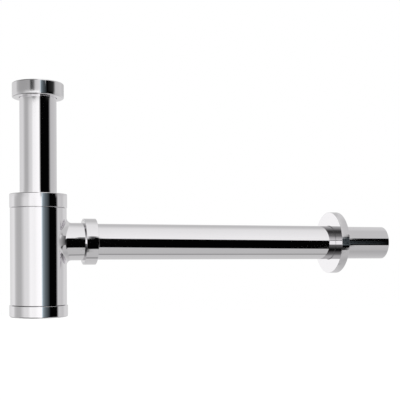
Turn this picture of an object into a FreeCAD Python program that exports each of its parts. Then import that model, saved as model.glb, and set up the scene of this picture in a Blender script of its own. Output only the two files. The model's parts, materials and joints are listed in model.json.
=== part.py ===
# Chrome-plated bottle trap for a wash basin, with a long outlet tube and a wall flange.
# Millimetres. The origin is the centre of the inlet nut's mouth, +Z points up along the
# bottle's axis and +X points along the outlet tube to the wall.
import FreeCAD, Part
import math
import os

from FreeCAD import Vector

# Inlet tube and outlet tube
TUBE_OD = 32.0
TUBE_WALL = 1.0
TUBE_IN_VIEW = 83.6
INLET_TUBE_LENGTH = 135.0
INLET_RIM_WIDTH = 3.175
INLET_RIM_THICKNESS = 1.5
OUTLET_TUBE_LENGTH = 296.0
OUTLET_TUBE_PAST_FLANGE = 49.7
SPIGOT_DRAWN_IN = 0.5
SWAGE_INSET = 0.9
SWAGE_LENGTH = 0.6
TUBE_END_BEVEL = 0.45

# Inlet nut, with a 1 1/4 inch pipe thread, which is 41.91 mm across
INLET_NUT_WALL = 1.395
INLET_NUT_HEIGHT = 12.6
INLET_THREAD_DEPTH = 1.48
INLET_NUT_LIP = 2.2
INLET_NUT_BEVEL = 0.8
INLET_WASHER_THICKNESS = 3.0
INLET_WASHER_INSIDE_TUBE = 0.5

# Bottle body
BODY_WALL = 2.0
BODY_HEIGHT = 84.4
BODY_TOP_WALL = 3.1
BODY_BEVEL = 0.25
SHADOW_GAP = 0.4
NECK_WALL = 2.25
NECK_SETBACK = 0.8

# Side branch of the body
OUTLET_HEIGHT = 55.35
BRANCH_OD = 33.2
BRANCH_WALL = 2.0
BRANCH_LENGTH = 14.8
BRANCH_FILLET = 4.0
SOCKET_WALL = 1.75
SOCKET_SHOULDER_LENGTH = 1.0
SOCKET_SEAT_LENGTH = 1.4
SOCKET_MOUTH_BEVEL = 0.8

# Collar that clamps the inlet tube
COLLAR_PROUD_OF_BODY = 0.45
COLLAR_WALL = 2.05
COLLAR_HEIGHT = 12.0
COLLAR_TOP_WALL = 2.2
COLLAR_BEVEL = 0.5
COLLAR_SLIP_RING_THICKNESS = 1.2
COLLAR_SEAL_HEIGHT = 5.2
COLLAR_SEAL_BEVEL = 1.0

# Dip tube that gives the water seal
DIP_TUBE_LOOSENESS = 0.45
DIP_TUBE_WALL = 1.45
DIP_TUBE_RIM_WIDTH = 1.5
DIP_TUBE_RIM_THICKNESS = 2.0
DIP_TUBE_ABOVE_CUP_FLOOR = 11.5

# Cleaning cup under the bottle
CUP_PROUD_OF_BODY = 0.85
CUP_HEIGHT = 10.15
CUP_FLOOR = 3.0
CUP_SPIGOT_WALL = 1.35
CUP_SPIGOT_HEIGHT = 8.4
CUP_BEVEL = 0.7
CUP_INNER_BEVEL = 2.0
CUP_RING_THICKNESS = 2.3
CUP_COUNTERBORE_STEP = 0.35
CUP_COUNTERBORE_DEPTH = 2.6

# Outlet nut on the side branch
OUTLET_NUT_WALL = 1.4
OUTLET_NUT_LENGTH = 10.8
OUTLET_NUT_LIP = 1.9
OUTLET_NUT_BEVEL = 0.4
OUTLET_SLIP_RING_THICKNESS = 1.0
OUTLET_SEAL_LENGTH = 2.3

# Wall flange
FLANGE_OD = 58.8
FLANGE_THICKNESS = 7.9
FLANGE_FRONT_WALL = 2.0
FLANGE_RIM_WALL = 2.2
FLANGE_HUB_WALL = 1.75
FLANGE_HUB_SETBACK = 0.9
FLANGE_HUB_LIP = 0.8
FLANGE_BEVEL = 0.35
FLANGE_RING_THICKNESS = 2.0

# Threads of the body, 1.5 mm pitch
THREAD_DEPTH = 0.95
THREAD_CLEARANCE = 0.1

# Flats that stand for the round section of a rubber ring
RING_SECTION_FLATS = 8

# Fits, all radial
SEAL_FIT = 0.05
RING_CLEARANCE = 0.2
SLIDE_CLEARANCE = 0.3

# Radii that several pieces share
tube_r = TUBE_OD / 2
tube_bore_r = tube_r - TUBE_WALL
tube_hole_r = tube_r + SLIDE_CLEARANCE
seal_hole_r = tube_r + SEAL_FIT
inlet_rim_r = tube_r + INLET_RIM_WIDTH
inlet_seat_r = inlet_rim_r + SLIDE_CLEARANCE
inlet_thread_r = inlet_seat_r + INLET_THREAD_DEPTH
inlet_nut_r = inlet_thread_r + INLET_NUT_WALL
dip_tube_bore_r = tube_r + DIP_TUBE_LOOSENESS
dip_tube_r = dip_tube_bore_r + DIP_TUBE_WALL
dip_rim_r = dip_tube_r + DIP_TUBE_RIM_WIDTH
neck_bore_r = dip_rim_r + RING_CLEARANCE
neck_core_r = neck_bore_r + NECK_WALL
neck_thread_r = neck_core_r + THREAD_DEPTH
collar_bore_r = neck_thread_r + THREAD_CLEARANCE
collar_r = collar_bore_r + COLLAR_WALL
body_r = collar_r - COLLAR_PROUD_OF_BODY
body_bore_r = body_r - BODY_WALL
cup_r = body_r + CUP_PROUD_OF_BODY
cup_thread_r = body_bore_r - THREAD_CLEARANCE
counterbore_r = body_bore_r + CUP_COUNTERBORE_STEP
cup_ring_r = counterbore_r - RING_CLEARANCE - CUP_RING_THICKNESS / 2
cup_ring_groove_r = cup_ring_r - RING_CLEARANCE - CUP_RING_THICKNESS / 2
cup_bore_r = cup_ring_groove_r - CUP_SPIGOT_WALL
branch_r = BRANCH_OD / 2
socket_core_r = tube_hole_r + SOCKET_WALL
socket_thread_r = socket_core_r + THREAD_DEPTH
outlet_nut_bore_r = socket_thread_r + THREAD_CLEARANCE
outlet_nut_r = outlet_nut_bore_r + OUTLET_NUT_WALL

# Levels down the bottle's axis
inlet_nut_bottom = -INLET_NUT_HEIGHT
collar_top = inlet_nut_bottom - TUBE_IN_VIEW
collar_bottom = collar_top - COLLAR_HEIGHT
body_shoulder = collar_bottom - SHADOW_GAP
body_bottom = body_shoulder - BODY_HEIGHT
cup_rim = body_bottom - SHADOW_GAP
cup_bottom = cup_rim - CUP_HEIGHT
outlet_level = body_bottom + OUTLET_HEIGHT

# Levels inside the inlet nut
inlet_rim_bottom = inlet_nut_bottom + INLET_NUT_LIP
inlet_rim_top = inlet_rim_bottom + INLET_RIM_THICKNESS
inlet_washer_top = inlet_rim_top + INLET_WASHER_THICKNESS
inlet_tube_bottom = inlet_rim_top - INLET_TUBE_LENGTH

# Levels inside the collar
collar_ceiling = collar_top - COLLAR_TOP_WALL
collar_slip_ring_bottom = collar_ceiling - COLLAR_SLIP_RING_THICKNESS
collar_seal_bottom = collar_slip_ring_bottom - COLLAR_SEAL_HEIGHT
neck_top = collar_slip_ring_bottom - NECK_SETBACK
dip_rim_top = collar_seal_bottom
dip_ledge = dip_rim_top - DIP_TUBE_RIM_THICKNESS
chamber_top = dip_ledge - BODY_TOP_WALL

# Levels inside the cup
cup_floor_top = cup_bottom + CUP_FLOOR
cup_spigot_top = cup_rim + CUP_SPIGOT_HEIGHT
cup_ring_groove_top = cup_rim + CUP_RING_THICKNESS + RING_CLEARANCE
cup_ring_level = (cup_rim + cup_ring_groove_top) / 2
dip_tube_bottom = cup_floor_top + DIP_TUBE_ABOVE_CUP_FLOOR

# Stations along the outlet tube
branch_end = body_r + BRANCH_LENGTH
outlet_nut_end = branch_end + OUTLET_NUT_LENGTH
outlet_slip_ring_end = outlet_nut_end - OUTLET_NUT_LIP
outlet_slip_ring_start = outlet_slip_ring_end - OUTLET_SLIP_RING_THICKNESS
socket_end = outlet_slip_ring_start - OUTLET_SEAL_LENGTH
socket_seat = branch_end + SOCKET_SEAT_LENGTH
outlet_tube_start = socket_seat + SLIDE_CLEARANCE
outlet_tube_end = outlet_tube_start + OUTLET_TUBE_LENGTH
flange_back = outlet_tube_end - OUTLET_TUBE_PAST_FLANGE
flange_front = flange_back - FLANGE_THICKNESS
flange_hub_end = flange_back - FLANGE_HUB_SETBACK
flange_groove_half = FLANGE_RING_THICKNESS / 2 + RING_CLEARANCE
flange_ring_station = flange_hub_end - FLANGE_HUB_LIP - flange_groove_half
spigot_start = flange_back - SWAGE_INSET

UP = Vector(0, 0, 1)
ORIGIN = Vector(0, 0, 0)


def turned(profile):
    """Solid of revolution about Z from the corners (radius, height) of its half section."""
    corners = [Vector(radius, 0, height) for radius, height in profile]
    section = Part.Face(Part.makePolygon(corners + [corners[0]]))
    return section.revolve(ORIGIN, UP, 360)


def ring(outer_r, inner_r, bottom, top):
    """Plain ring about Z."""
    return turned([(inner_r, bottom), (outer_r, bottom), (outer_r, top), (inner_r, top)])


def rod(radius, bottom, top):
    """Plain cylinder about Z."""
    return Part.makeCylinder(radius, top - bottom, Vector(0, 0, bottom), UP)


def o_ring(middle_r, thickness, level):
    """Rubber ring about Z, its round section drawn with a few flats."""
    corner_r = thickness / 2
    section = []
    for flat in range(RING_SECTION_FLATS):
        turn = 2 * math.pi * (flat + 0.5) / RING_SECTION_FLATS
        section.append((middle_r + corner_r * math.cos(turn), level + corner_r * math.sin(turn)))
    return turned(section)


def bevelled(shape, rims, size):
    """The shape with its circular edges at the given (radius, height) bevelled."""
    edges = []
    for edge in shape.Edges:
        if not isinstance(edge.Curve, Part.Circle):
            continue
        for radius, height in rims:
            same_radius = abs(edge.Curve.Radius - radius) < 0.01
            if same_radius and abs(edge.Curve.Center.z - height) < 0.01:
                edges.append(edge)
    return shape.makeChamfer(size, edges)


def laid_along_outlet(shape):
    """A shape made about Z, turned so that its height runs along the outlet's axis."""
    laid = shape.copy()
    laid.rotate(ORIGIN, Vector(0, 1, 0), 90)
    laid.translate(Vector(0, 0, outlet_level))
    return laid


def make_inlet_nut():
    """The round nut: thread down to the washer, then a plain seat, then the lip."""
    nut = turned([
        (tube_hole_r, inlet_nut_bottom),
        (inlet_nut_r, inlet_nut_bottom),
        (inlet_nut_r, 0),
        (inlet_thread_r, 0),
        (inlet_thread_r, inlet_washer_top),
        (inlet_seat_r, inlet_washer_top),
        (inlet_seat_r, inlet_rim_bottom),
        (tube_hole_r, inlet_rim_bottom),
    ])
    return bevelled(nut, [(inlet_nut_r, inlet_nut_bottom), (inlet_nut_r, 0)], INLET_NUT_BEVEL)


def make_inlet_washer():
    hole_r = tube_bore_r - INLET_WASHER_INSIDE_TUBE
    return ring(inlet_rim_r, hole_r, inlet_rim_top, inlet_washer_top)


def make_inlet_tube():
    """The thin tube with the rim that hangs it in the inlet nut."""
    tube = turned([
        (tube_bore_r, inlet_tube_bottom),
        (tube_r, inlet_tube_bottom),
        (tube_r, inlet_rim_bottom),
        (inlet_rim_r, inlet_rim_bottom),
        (inlet_rim_r, inlet_rim_top),
        (tube_bore_r, inlet_rim_top),
    ])
    ends = [(tube_r, inlet_tube_bottom), (inlet_rim_r, inlet_rim_top)]
    return bevelled(tube, ends, TUBE_END_BEVEL)


def make_collar_nut():
    nut = turned([
        (collar_bore_r, collar_bottom),
        (collar_r, collar_bottom),
        (collar_r, collar_top),
        (tube_hole_r, collar_top),
        (tube_hole_r, collar_ceiling),
        (collar_bore_r, collar_ceiling),
    ])
    nut = bevelled(nut, [(collar_r, collar_top)], COLLAR_BEVEL)
    return bevelled(nut, [(collar_r, collar_bottom)], BODY_BEVEL)


def make_collar_slip_ring():
    outer_r = neck_core_r - RING_CLEARANCE
    return ring(outer_r, tube_hole_r, collar_slip_ring_bottom, collar_ceiling)


def make_collar_seal():
    return turned([
        (seal_hole_r, collar_seal_bottom),
        (dip_rim_r - COLLAR_SEAL_BEVEL, collar_seal_bottom),
        (dip_rim_r, collar_seal_bottom + COLLAR_SEAL_BEVEL),
        (dip_rim_r, collar_slip_ring_bottom),
        (seal_hole_r, collar_slip_ring_bottom),
    ])


def make_dip_tube():
    """The plastic tube that hangs by its rim in the neck and ends low in the cup."""
    lead_in = DIP_TUBE_WALL / 2
    return turned([
        (dip_tube_bore_r, dip_tube_bottom),
        (dip_tube_r - lead_in, dip_tube_bottom),
        (dip_tube_r, dip_tube_bottom + DIP_TUBE_WALL),
        (dip_tube_r, dip_ledge),
        (dip_rim_r, dip_ledge),
        (dip_rim_r, dip_rim_top),
        (dip_tube_bore_r + lead_in, dip_rim_top),
        (dip_tube_bore_r, dip_rim_top - DIP_TUBE_WALL),
    ])


def saddle_edges(body):
    """The edges where the round branch runs into the round bottle."""
    return [edge for edge in body.Edges if not isinstance(edge.Curve, (Part.Circle, Part.Line))]


def bottle_with_branch():
    """The outer form of bottle and branch, with the fillet between them."""
    bottle = rod(body_r, body_bottom, body_shoulder)
    bottle.rotate(ORIGIN, UP, 180)
    branch = laid_along_outlet(rod(branch_r, 0, branch_end))
    form = bottle.fuse(branch)
    form = form.makeFillet(BRANCH_FILLET, saddle_edges(form))
    return bevelled(form, [(body_r, body_bottom), (body_r, body_shoulder)], BODY_BEVEL)


def make_trap_body():
    neck = rod(neck_core_r, body_shoulder, neck_top)
    shoulder_end = branch_end + SOCKET_SHOULDER_LENGTH
    shoulder = laid_along_outlet(rod(socket_thread_r, branch_end, shoulder_end))
    socket = laid_along_outlet(rod(socket_core_r, branch_end, socket_end))
    body = bottle_with_branch().fuse([neck, shoulder, socket])

    chamber = rod(body_bore_r, body_bottom, chamber_top)
    counterbore = rod(counterbore_r, body_bottom, body_bottom + CUP_COUNTERBORE_DEPTH)
    dip_hole = rod(dip_tube_r + SLIDE_CLEARANCE, body_bottom, dip_ledge)
    neck_hole = rod(neck_bore_r, dip_ledge, neck_top)
    branch_hole = laid_along_outlet(rod(branch_r - BRANCH_WALL, 0, socket_end))
    socket_hole = laid_along_outlet(turned([
        (0, socket_seat),
        (tube_hole_r, socket_seat),
        (tube_hole_r, socket_end - SOCKET_MOUTH_BEVEL),
        (tube_hole_r + SOCKET_MOUTH_BEVEL, socket_end),
        (0, socket_end),
    ]))
    return body.cut([chamber, counterbore, dip_hole, neck_hole, branch_hole, socket_hole])


def make_cup():
    """The cup with its threaded spigot and the groove of its sealing ring."""
    thread_core_r = cup_thread_r - THREAD_DEPTH
    cup = turned([
        (0, cup_bottom),
        (cup_r, cup_bottom),
        (cup_r, cup_rim),
        (cup_ring_groove_r, cup_rim),
        (cup_ring_groove_r, cup_ring_groove_top),
        (thread_core_r, cup_ring_groove_top),
        (thread_core_r, cup_spigot_top),
        (cup_bore_r, cup_spigot_top),
        (cup_bore_r, cup_floor_top),
        (0, cup_floor_top),
    ])
    cup = bevelled(cup, [(cup_r, cup_bottom)], CUP_BEVEL)
    cup = bevelled(cup, [(cup_r, cup_rim)], BODY_BEVEL)
    return bevelled(cup, [(cup_bore_r, cup_floor_top)], CUP_INNER_BEVEL)


def make_cup_o_ring():
    return o_ring(cup_ring_r, CUP_RING_THICKNESS, cup_ring_level)


def make_outlet_nut():
    nut = turned([
        (outlet_nut_bore_r, branch_end),
        (outlet_nut_r, branch_end),
        (outlet_nut_r, outlet_nut_end),
        (tube_hole_r, outlet_nut_end),
        (tube_hole_r, outlet_slip_ring_end),
        (outlet_nut_bore_r, outlet_slip_ring_end),
    ])
    rims = [(outlet_nut_r, branch_end), (outlet_nut_r, outlet_nut_end)]
    return laid_along_outlet(bevelled(nut, rims, OUTLET_NUT_BEVEL))


def make_outlet_slip_ring():
    outer_r = socket_core_r - RING_CLEARANCE
    slip_ring = ring(outer_r, tube_hole_r, outlet_slip_ring_start, outlet_slip_ring_end)
    return laid_along_outlet(slip_ring)


def make_outlet_seal():
    """The seal that is flat on the socket's end, with a nose in the socket's bevelled mouth."""
    outer_r = socket_core_r - RING_CLEARANCE
    nose_start = socket_end - SOCKET_MOUTH_BEVEL / 2
    mouth_r = tube_hole_r + SOCKET_MOUTH_BEVEL
    nose_r = tube_hole_r + SOCKET_MOUTH_BEVEL / 4
    seal = turned([
        (seal_hole_r, nose_start),
        (nose_r, nose_start),
        (mouth_r - SOCKET_MOUTH_BEVEL / 4, socket_end),
        (outer_r, socket_end),
        (outer_r, outlet_slip_ring_start),
        (seal_hole_r, outlet_slip_ring_start),
    ])
    return laid_along_outlet(seal)


def make_outlet_tube():
    """The long tube, drawn in slightly behind the wall flange to enter the wall connection."""
    spigot_r = tube_r - SPIGOT_DRAWN_IN
    spigot_bore_r = spigot_r - TUBE_WALL
    swage_end = spigot_start + SWAGE_LENGTH
    tube = turned([
        (tube_bore_r, outlet_tube_start),
        (tube_r, outlet_tube_start),
        (tube_r, spigot_start),
        (spigot_r, swage_end),
        (spigot_r, outlet_tube_end),
        (spigot_bore_r, outlet_tube_end),
        (spigot_bore_r, swage_end),
        (tube_bore_r, spigot_start),
    ])
    ends = [(tube_r, outlet_tube_start), (spigot_r, outlet_tube_end)]
    return laid_along_outlet(bevelled(tube, ends, TUBE_END_BEVEL))


def make_wall_flange():
    """The hollow wall plate with a hub that holds a rubber ring round the tube."""
    outer_r = FLANGE_OD / 2
    rim_inner_r = outer_r - FLANGE_RIM_WALL
    groove_r = seal_hole_r + FLANGE_RING_THICKNESS + RING_CLEARANCE
    hub_r = groove_r + FLANGE_HUB_WALL
    groove_start = flange_ring_station - flange_groove_half
    groove_end = flange_ring_station + flange_groove_half
    recess_floor = flange_front + FLANGE_FRONT_WALL
    flange = turned([
        (tube_hole_r, flange_front),
        (outer_r, flange_front),
        (outer_r, flange_back),
        (rim_inner_r, flange_back),
        (rim_inner_r, recess_floor),
        (hub_r, recess_floor),
        (hub_r, flange_hub_end),
        (tube_hole_r, flange_hub_end),
        (tube_hole_r, groove_end),
        (groove_r, groove_end),
        (groove_r, groove_start),
        (tube_hole_r, groove_start),
    ])
    flange = bevelled(flange, [(outer_r, flange_front), (outer_r, flange_back)], FLANGE_BEVEL)
    return laid_along_outlet(flange)


def make_flange_o_ring():
    middle_r = seal_hole_r + FLANGE_RING_THICKNESS / 2
    return laid_along_outlet(o_ring(middle_r, FLANGE_RING_THICKNESS, flange_ring_station))


PIECES = {
    "inlet_nut": make_inlet_nut,
    "inlet_washer": make_inlet_washer,
    "inlet_tube": make_inlet_tube,
    "collar_nut": make_collar_nut,
    "collar_slip_ring": make_collar_slip_ring,
    "collar_seal": make_collar_seal,
    "dip_tube": make_dip_tube,
    "trap_body": make_trap_body,
    "cup": make_cup,
    "cup_o_ring": make_cup_o_ring,
    "outlet_nut": make_outlet_nut,
    "outlet_slip_ring": make_outlet_slip_ring,
    "outlet_seal": make_outlet_seal,
    "outlet_tube": make_outlet_tube,
    "wall_flange": make_wall_flange,
    "flange_o_ring": make_flange_o_ring,
}

os.makedirs("parts", exist_ok=True)
for name, make in PIECES.items():
    piece = make()
    piece.exportStep("parts/" + name + ".step")
    print(name, "solids:", len(piece.Solids), "valid:", piece.isValid())
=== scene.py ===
"""Bottle trap for a wash basin: its visible pieces, finishes and studio, built on the CAD frame."""

import json
import math

import bpy
from mathutils import Matrix, Vector

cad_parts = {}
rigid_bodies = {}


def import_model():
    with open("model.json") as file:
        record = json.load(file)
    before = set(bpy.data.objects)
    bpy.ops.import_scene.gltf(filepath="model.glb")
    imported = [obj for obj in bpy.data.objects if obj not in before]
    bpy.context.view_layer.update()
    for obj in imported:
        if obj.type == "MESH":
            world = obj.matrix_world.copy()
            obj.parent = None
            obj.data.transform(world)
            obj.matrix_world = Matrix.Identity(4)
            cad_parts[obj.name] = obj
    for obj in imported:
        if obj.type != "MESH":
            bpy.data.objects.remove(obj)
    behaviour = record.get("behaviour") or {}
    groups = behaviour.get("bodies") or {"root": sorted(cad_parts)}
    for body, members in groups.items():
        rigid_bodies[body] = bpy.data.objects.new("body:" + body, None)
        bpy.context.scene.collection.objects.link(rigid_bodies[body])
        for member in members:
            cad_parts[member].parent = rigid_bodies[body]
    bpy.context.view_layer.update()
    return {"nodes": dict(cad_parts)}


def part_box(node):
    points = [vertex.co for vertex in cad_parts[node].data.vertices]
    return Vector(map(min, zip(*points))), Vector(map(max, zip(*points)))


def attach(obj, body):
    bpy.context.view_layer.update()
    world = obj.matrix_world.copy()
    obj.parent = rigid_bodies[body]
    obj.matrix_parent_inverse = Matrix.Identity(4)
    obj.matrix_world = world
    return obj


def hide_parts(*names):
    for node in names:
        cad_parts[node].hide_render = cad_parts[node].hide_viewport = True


bl_info = {
    "name": "Bottle Trap",
    "version": (1, 0, 0),
    "blender": (4, 5, 0),
    "location": "View3D > Sidebar > Bottle Trap",
    "description": "Builds a chrome bottle trap with its threads, seals and studio",
    "category": "Add Mesh",
}

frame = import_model()
NODES = frame["nodes"]

# Fineness of the meshes, and the distances within which points count as one
MM = 0.001
STEPS_ROUND = 192
THREAD_STEPS = 96
SADDLE_RINGS = 14
RING_STEPS = 144
RING_SECTION_STEPS = 24
EDGE_STEPS = 4
SMOOTH_ANGLE = math.radians(34)
MERGE = 0.002 * MM
SAME_PLACE = 0.02 * MM

# Radii, thicknesses, levels and stations inside the solids, in mm
TUBE = 16.0
TUBE_BORE = 15.0
TUBE_HOLE = 16.3
DRAWN = 15.5
DRAWN_WALL = 1
DRAWN_START = 286.4
DRAWN_TAPER = 0.6
INLET_THREAD = 20.955
INLET_SEAT = 19.475
INLET_WASHER_TOP = -5.9
INLET_RIM_BOTTOM = -10.4
COLLAR_BORE = 22.9
COLLAR_CEILING = -98.4
NECK_CORE = 21.85
NECK_TOP = -100.4
BODY_BORE = 22.5
COUNTERBORE_TOP = -190.4
CUP_RIM = -193.4
CUP_GROOVE = 20.15
CUP_GROOVE_TOP = -190.9
CUP_CORE = 21.45
CUP_BORE = 18.8
CUP_FLOOR = -200.55
CUP_RING = 21.5
CUP_RING_THICKNESS = 2.3
CUP_SPIGOT_TOP = -185.0
BRANCH = 16.6
BRANCH_END = 39.3
SOCKET_CORE = 18.05
SOCKET_THREAD_START = BRANCH_END + 1.0
SOCKET_END = 44.9
OUTLET_NUT_BORE = 19.1
OUTLET_NUT_CEILING = 48.2
FLANGE_WALL = 2.2
FLANGE_FACE = 2
FLANGE_HUB = 20.0
FLANGE_HUB_END = 286.4
FLANGE_GROOVE = 18.25
FLANGE_GROOVE_HALF = 1.2
FLANGE_RING = 284.4
FLANGE_RING_RADIUS = 17.05
FLANGE_RING_THICKNESS = 2.0

# Small roundings and half the width of a mould line, in mm
TUBE_EDGE = 0.3
TUBE_MOUTH_EDGE = 0.9
INNER_EDGE = 0.25
FINE_EDGE = 0.2
CUP_FLOOR_EDGE = 2.0
FLANGE_HOLLOW_EDGE = 1.0
MOULD_LINE = 0.04

# Roundings as shares of the edge radius
COLLAR_EDGE = 1.3
OUTLET_NUT_EDGE = 1 / 2
FLANGE_EDGE = 1 / 3

# Threads: a ridge's foot and tip as shares of the pitch, its fade as a share of a turn, and the
# rest in mm. A ridge starts a little inside the metal. The shift is half a pitch: it puts the
# ridges of the collar and the outlet nut between their partners'.
THREAD_FOOT = 0.82
THREAD_TIP = 0.1
INLET_THREAD_FOOT = 0.86
INLET_THREAD_TIP = 0.22
THREAD_SINK = 0.04
THREAD_SHIFT = 0.75
THREAD_GAP = 0.1
CUP_THREAD_GAP = 0.3
INLET_LEAD = 0.7
FADE_TURN = 0.12
FADE_LEAST = 0.02

# Saddle at the branch's root, in mm: its height over the branch and its end along the branch,
# at the top and at the front. Its pull says how closely it follows the corner there.
SADDLE_TOP = (4.3, 28.8)
SADDLE_FRONT = (3.6, 22.4)
SADDLE_PULL = (0.55, 0.65)
SADDLE_PROUD = 0.02
SADDLE_SKIN = 0.4

# Finishes: how far the tones and the haze vary, as shares of the panel's colour or roughness,
# and the least and most roughness of the plastic
CHROME_TONES = (0.985, 1.0)
CHROME_HAZE = (0.7, 1.3)
RUBBER_TONES = (0.75, 1.35)
PLASTIC_TONES = (0.96, 1.0)
PLASTIC_GLOSS = (0.34, 0.46)

# Camera of the photograph: its turn is yaw, pitch and roll in degrees
CAMERA_PLACE = Vector((-0.08540, -0.74139, -0.14871))
CAMERA_TURN = (16.822, -1.092, -0.034)
CAMERA_FILM = 36.0
CAMERA_LENS = 75.337
CAMERA_SHIFT = (0.025, 0.175)
CAMERA_CLIP = (0.01, 100.0)

# Floor: its level and width in metres, and its look
FLOOR_LEVEL = -0.42
FLOOR_SIZE = 6.0
FLOOR_COLOUR = (1, 1, 1)
FLOOR_TONES = (0.93, 0.97)
FLOOR_ROUGHNESS = 0.9
FLOOR_GLOW = 0.6

# Studio: angles in degrees, round from the camera's side to the right, up from the level or over
# the top, and greys from 0 to 255 as the chrome shows them. Each screen is a list of
# (angle, grey). Each pair of angles is a border, over which one screen blends into the next, and
# the upright borders hold the block of directions that the upright pieces mirror.
CAMERA_AROUND = 6.57
CHROME_MIRROR = 0.9
BLACK = 3
LOW_TO_MIDDLE = (4.10, 4.18)
MIDDLE_TO_HIGH = (10.25, 10.4)
LEFT_TO_FRONT = (-2.5, 5.5)
FRONT_TO_RIGHT = (33.3, 33.4)
BLACK_START = (13.0, 14.0)
BLACK_END = (76, 78)
BLACK_BLUR = (-0.8, 0.8)
UPRIGHT_FOOT = (-14.0, -11.0)
UPRIGHT_TOP = (13.0, 16.0)
UPRIGHT_LEFT = (15.15, 15.2)
UPRIGHT_RIGHT = (34.3, 34.35)
LOW_WALLS = (
    (-180, 206), (-117, 224), (-104, 184), (-94, 172), (-76, 172), (-58, 214), (-42, 218),
    (-32, 244), (-15, 241), (-2, 253), (11.5, 254), (14, BLACK), (76, BLACK), (85, 196),
    (109, 190), (124, 208), (180, 206),
)
MIDDLE_WALLS = (
    (-180, 205), (-110, 210), (-100, 197), (-88, 170), (-70, 168), (-53, 204), (-40, 214),
    (-32, 240), (5, 253), (9.2, 193), (12.3, 110), (14.6, BLACK), (69, BLACK), (78, 150),
    (84, 182), (137, 197), (180, 200),
)
HIGH_WALLS = (
    (-180, 205), (-113, 208), (-101, 170), (-85, 155), (-60, 153), (-38, 157), (-32, 80),
    (-28, 61), (-19, 104), (-10, 195), (4, 212), (9.5, 195), (12, BLACK), (42, BLACK),
    (68, 42), (74, 70), (85, 187), (120, 197), (141, 187),
)
LEFT_ARCH = (
    (-180, 175), (-108, 165), (-90, 105), (-58, 16), (-45, 15), (-15, 100), (0, 180), (10, 245),
    (21, 195), (38, 150), (44, 112), (75, 52), (90, 60), (118, 140), (180, 200),
)
FRONT_ARCH = (
    (-180, 200), (-96, 190), (-93, 140), (-86, 140), (-84, 180), (-30, 184), (0, 234), (28, 234),
    (90, 222), (122, 187), (138, 187), (180, 205),
)
RIGHT_ARCH = (
    (-180, 205), (-68, 168), (-50, 178), (20, 189), (90, 188), (110, 199), (180, 205),
)

# Top and foot of the long black screen, as (angle along the outlet, angle over the top)
BLACK_TOP = (
    (15, 13), (16.36, 13), (16.38, 26), (17.16, 26), (17.18, 19.6), (33.3, 13.2),
    (33.33, 21.5), (34.22, 21.5), (34.3, 30.5), (36, 30.5),
)
BLACK_FOOT = (
    (15, -55), (16.36, -55), (16.38, -37.5), (17.16, -37.5), (17.18, -37), (33.3, -45.4),
    (33.33, -29), (34.22, -29), (34.3, -19), (36, -19),
)

# See-through cards: what each glows with, as (angle, grey) or for the plate as (x, grey), and
# its place, as (y, lowest, highest), with x, y and heights in metres
FAR = 20.0
NEAR = 0.035
WHITE_TINT = (1, 1, 1)
SHEEN_TINT = (0.83, 1.0, 1.1)
SHEEN = ((12, BLACK), (12.8, 215), (15.5, 178), (19, 138), (27.5, 98), (36, 72), (45.5, BLACK))
NUT_SHEEN = ((8, BLACK), (9.5, 172), (13, 132), (22, 87), (31, 60), (40, BLACK))
SADDLE_SHEEN = ((14, BLACK), (24, 40), (45, 90), (66, 140), (76, 165), (84, BLACK))
RIM_SHEEN = ((32, 97), (36, 97))
END_SHEEN = ((34.4, 82), (35.2, 64), (36, 48), (37.2, 40))
PLATE_SHEEN = ((-12.8, 125), (-6.8, 125))
FAR_CARD = (-FAR, -2.5, 2.5)
NUT_CARD = (-FAR, 3.0, 6.5)
NEAR_CARD = (-NEAR, -0.2, -0.1)
SADDLE_CARD = (-FAR, -7.2, 11.7)
PLATE_CARD = (FAR, -3.0, 3.0)
RIM_CARD = (-FAR, -4.0, 7.0)
END_CARD = (-FAR, -4.0, 4.0)

# Sockets of a mix node that is set to colours, and the span in which most of a noise lies
MIX_FACTOR = 0
MIX_FIRST = 6
MIX_SECOND = 7
MIX_RESULT = 2
USUAL_NOISE = (0.3, 0.7)


# Places that come from the solids

def level(node, end):
    """Lowest (0) or highest (1) point of a CAD node."""
    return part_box(node)[end].z


def station(node, end):
    """Nearest (0) or farthest (1) point of a CAD node along the outlet."""
    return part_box(node)[end].x


def reach(node):
    """Outer radius of a CAD node, from its width across the outlet."""
    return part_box(node)[1].y


OUTLET_LEVEL = (level("outlet_tube", 0) + level("outlet_tube", 1)) / 2


class TrapSizes(bpy.types.PropertyGroup):
    """Sizes that the solids leave to the visible pieces."""
    edge_radius: bpy.props.FloatProperty(
        name="Edge radius", description="Rounding of the small outer edges",
        default=0.45 * MM, min=0.0, unit="LENGTH")
    nut_edge_radius: bpy.props.FloatProperty(
        name="Inlet nut edge radius", description="Rounding of the inlet nut's two rims",
        default=0.95 * MM, min=0.0, unit="LENGTH")
    cup_edge_radius: bpy.props.FloatProperty(
        name="Cup edge radius", description="Rounding of the cup's lower rim",
        default=1.0 * MM, min=0.0, unit="LENGTH")
    thread_pitch: bpy.props.FloatProperty(
        name="Thread pitch", description="Pitch of the three threads of the body",
        default=1.5 * MM, min=0.0, unit="LENGTH")
    thread_depth: bpy.props.FloatProperty(
        name="Thread depth", description="Height of the ridges of the body's threads",
        default=0.95 * MM, min=0.0, unit="LENGTH")
    inlet_pitch: bpy.props.FloatProperty(
        name="Inlet pitch", description="Pitch of the 1 1/4 inch pipe thread, 11 to the inch",
        default=2.309 * MM, min=0.0, unit="LENGTH")
    inlet_depth: bpy.props.FloatProperty(
        name="Inlet thread depth", description="Height of the ridges of the inlet thread",
        default=1.479 * MM, min=0.0, unit="LENGTH")


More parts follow.
